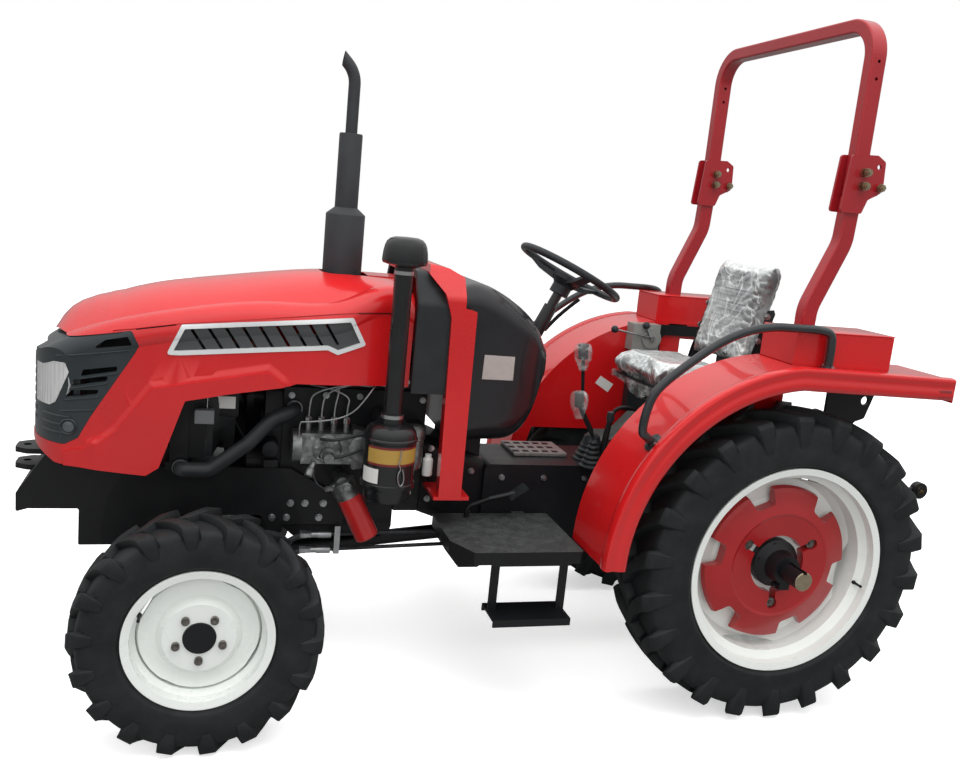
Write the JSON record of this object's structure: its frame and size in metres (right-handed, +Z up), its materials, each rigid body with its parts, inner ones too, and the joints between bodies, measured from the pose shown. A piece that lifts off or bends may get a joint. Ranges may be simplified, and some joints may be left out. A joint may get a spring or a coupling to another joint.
{
  "type": "farm tractor",
  "caption": "Four-wheel-drive farm tractor with a tilting hood, folding roll-over guard, rear three-point links and open platform, all joints modelled.",
  "frame": {"origin": "on the ground, at the middle of the length and width", "axes": "+X forward, +Y to the tractor's left, +Z up"},
  "size_m": [3.4929, 1.6, 2.5165],
  "materials": {
    "rubber_tyre": "matte tread rubber",
    "white_paint": "gloss white",
    "red_paint": "gloss red",
    "black_paint": "satin black",
    "cast_paint": "semi-gloss dark grey over castings",
    "black_plastic": "fine grained moulding",
    "grey_plastic": "fine grained dark grey moulding",
    "rubber": "matte",
    "bright_steel": "zinc plated or bare machined",
    "lamp_lens": "clear moulded lens",
    "tail_lens": "red and amber lens",
    "filter_red": "gloss red",
    "seat_cover": "stitched black vinyl"
  },
  "bodies": {
    "chassis": {"air_cleaner": "black_plastic", "arch_seal": "rubber", "control_levers": "black_plastic", "coolant_hoses": "rubber", "cowl": "grey_plastic", "drive_shaft": "black_paint", "engine_block": "cast_paint", "engine_castings": "cast_paint", "exhaust_stack": "black_paint", "fender_boxes": "red_paint", "fenders": "red_paint", "floor": "black_paint", "front_axle": "cast_paint", "front_frame": "cast_paint", "gearbox": "cast_paint", "guard_mounts": "black_paint", "guard_posts": "red_paint", "handrails": "black_paint", "hitch_brackets": "black_paint", "hydraulic_lines": "bright_steel", "oil_filter": "filter_red", "pedals": "black_paint", "radiator": "black_paint", "rear_arch": "red_paint", "rear_axle": "cast_paint", "seat_back": "seat_cover", "seat_base": "black_paint", "seat_cushion": "seat_cover", "tail_lamps": "tail_lens", "timing_cover": "cast_paint"},
    "front_wheel_left": {"front_tyre_left": "rubber_tyre", "front_rim_left": "white_paint", "front_hub_left": "cast_paint"},
    "rear_wheel_left": {"rear_tyre_left": "rubber_tyre", "rear_rim_left": "white_paint", "rear_weight_left": "red_paint", "rear_hub_left": "cast_paint"},
    "knuckle_left": {"knuckle_left": "cast_paint"},
    "front_wheel_right": {"front_tyre_right": "rubber_tyre", "front_rim_right": "white_paint", "front_hub_right": "cast_paint"},
    "rear_wheel_right": {"rear_tyre_right": "rubber_tyre", "rear_rim_right": "white_paint", "rear_weight_right": "red_paint", "rear_hub_right": "cast_paint"},
    "knuckle_right": {"knuckle_right": "cast_paint"},
    "tie_rod": {"tie_rod": "black_paint"},
    "steering_cylinder": {"steering_cylinder": "black_paint"},
    "cylinder_rod": {"cylinder_rod": "bright_steel"},
    "steering_wheel": {"steering_wheel": "black_plastic"},
    "guard_hoop": {"guard_hoop": "red_paint"},
    "lower_links": {"lower_links": "black_paint"},
    "lift_arms": {"lift_arms": "cast_paint"},
    "lift_rods": {"lift_rods": "black_paint"},
    "cooling_fan": {"cooling_fan": "black_plastic"},
    "pto_shaft": {"pto_shaft": "bright_steel"},
    "hood": {"hood": "red_paint", "nose_grille": "black_plastic", "headlights": "lamp_lens", "side_vents": "black_plastic"}
  },
  "joints": [
    {"name": "steer_left", "type": "hinge", "parent": "chassis", "child": "knuckle_left", "pos_m": [1.1205, 0.47, 0.378], "axis": [0, 0, 1], "range_deg": [-38, 38]},
    {"name": "steer_right", "type": "hinge", "parent": "chassis", "child": "knuckle_right", "pos_m": [1.1205, -0.47, 0.378], "axis": [0, 0, 1], "range_deg": [-38, 38]},
    {"name": "front_left_spin", "type": "hinge", "parent": "knuckle_left", "child": "front_wheel_left", "pos_m": [1.1205, 0.613, 0.378], "axis": [0, 1, 0], "continuous": true},
    {"name": "front_right_spin", "type": "hinge", "parent": "knuckle_right", "child": "front_wheel_right", "pos_m": [1.1205, -0.613, 0.378], "axis": [0, 1, 0], "continuous": true},
    {"name": "rear_left_spin", "type": "hinge", "parent": "chassis", "child": "rear_wheel_left", "pos_m": [-0.8795, 0.575, 0.576], "axis": [0, 1, 0], "continuous": true},
    {"name": "rear_right_spin", "type": "hinge", "parent": "chassis", "child": "rear_wheel_right", "pos_m": [-0.8795, -0.575, 0.576], "axis": [0, 1, 0], "continuous": true},
    {"name": "tie_rod_swing", "type": "hinge", "parent": "knuckle_left", "child": "tie_rod", "pos_m": [0.9405, 0.47, 0.271], "axis": [0, 0, 1], "range_deg": [-38, 38]},
    {"name": "cylinder_swing", "type": "hinge", "parent": "chassis", "child": "steering_cylinder", "pos_m": [1.2125, 0.128, 0.545], "axis": [0, 0, 1], "range_deg": [-8, 8]},
    {"name": "cylinder_stroke", "type": "slide", "parent": "steering_cylinder", "child": "cylinder_rod", "axis": [-0.0064, 1, 0], "range_m": [-0.08, 0.08]},
    {"name": "steering_wheel_turn", "type": "hinge", "parent": "chassis", "child": "steering_wheel", "pos_m": [-0.0395, 0, 1.18], "axis": [-0.4256, 0, 0.9049], "range_deg": [-535, 535]},
    {"name": "hood_tilt", "type": "hinge", "parent": "chassis", "child": "hood", "pos_m": [1.6265, 0, 0.835], "axis": [0, 1, 0], "range_deg": [0, 48]},
    {"name": "guard_fold", "type": "hinge", "parent": "chassis", "child": "guard_hoop", "pos_m": [-1.1055, 0, 1.94], "axis": [0, -1, 0], "range_deg": [0, 82]},
    {"name": "link_lift", "type": "hinge", "parent": "chassis", "child": "lower_links", "pos_m": [-0.9695, 0, 0.4], "axis": [0, 1, 0], "range_deg": [-40, 5]},
    {"name": "lift_arm_turn", "type": "hinge", "parent": "chassis", "child": "lift_arms", "pos_m": [-0.9695, 0, 0.88], "axis": [0, 1, 0], "range_deg": [-40, 5]},
    {"name": "lift_rod_swing", "type": "hinge", "parent": "lift_arms", "child": "lift_rods", "pos_m": [-1.23848, 0, 1.01286], "axis": [0, 1, 0], "range_deg": [-5, 40]},
    {"name": "fan_spin", "type": "hinge", "parent": "chassis", "child": "cooling_fan", "pos_m": [1.0165, 0, 0.99], "axis": [1, 0, 0], "continuous": true},
    {"name": "pto_spin", "type": "hinge", "parent": "chassis", "child": "pto_shaft", "pos_m": [-1.0965, 0, 0.61], "axis": [1, 0, 0], "continuous": true}
  ],
  "couplings": [
    {"joint": "steer_right", "follows": "steer_left", "ratio": 1},
    {"joint": "tie_rod_swing", "follows": "steer_left", "ratio": -1},
    {"joint": "cylinder_swing", "follows": "steer_left", "ratio": -0.10728},
    {"joint": "cylinder_stroke", "follows": "steer_left", "m_per_rad": 0.08132},
    {"joint": "steering_wheel_turn", "follows": "steer_left", "ratio": 14},
    {"joint": "lift_arm_turn", "follows": "link_lift", "ratio": 1},
    {"joint": "lift_rod_swing", "follows": "link_lift", "ratio": -1}
  ]
}
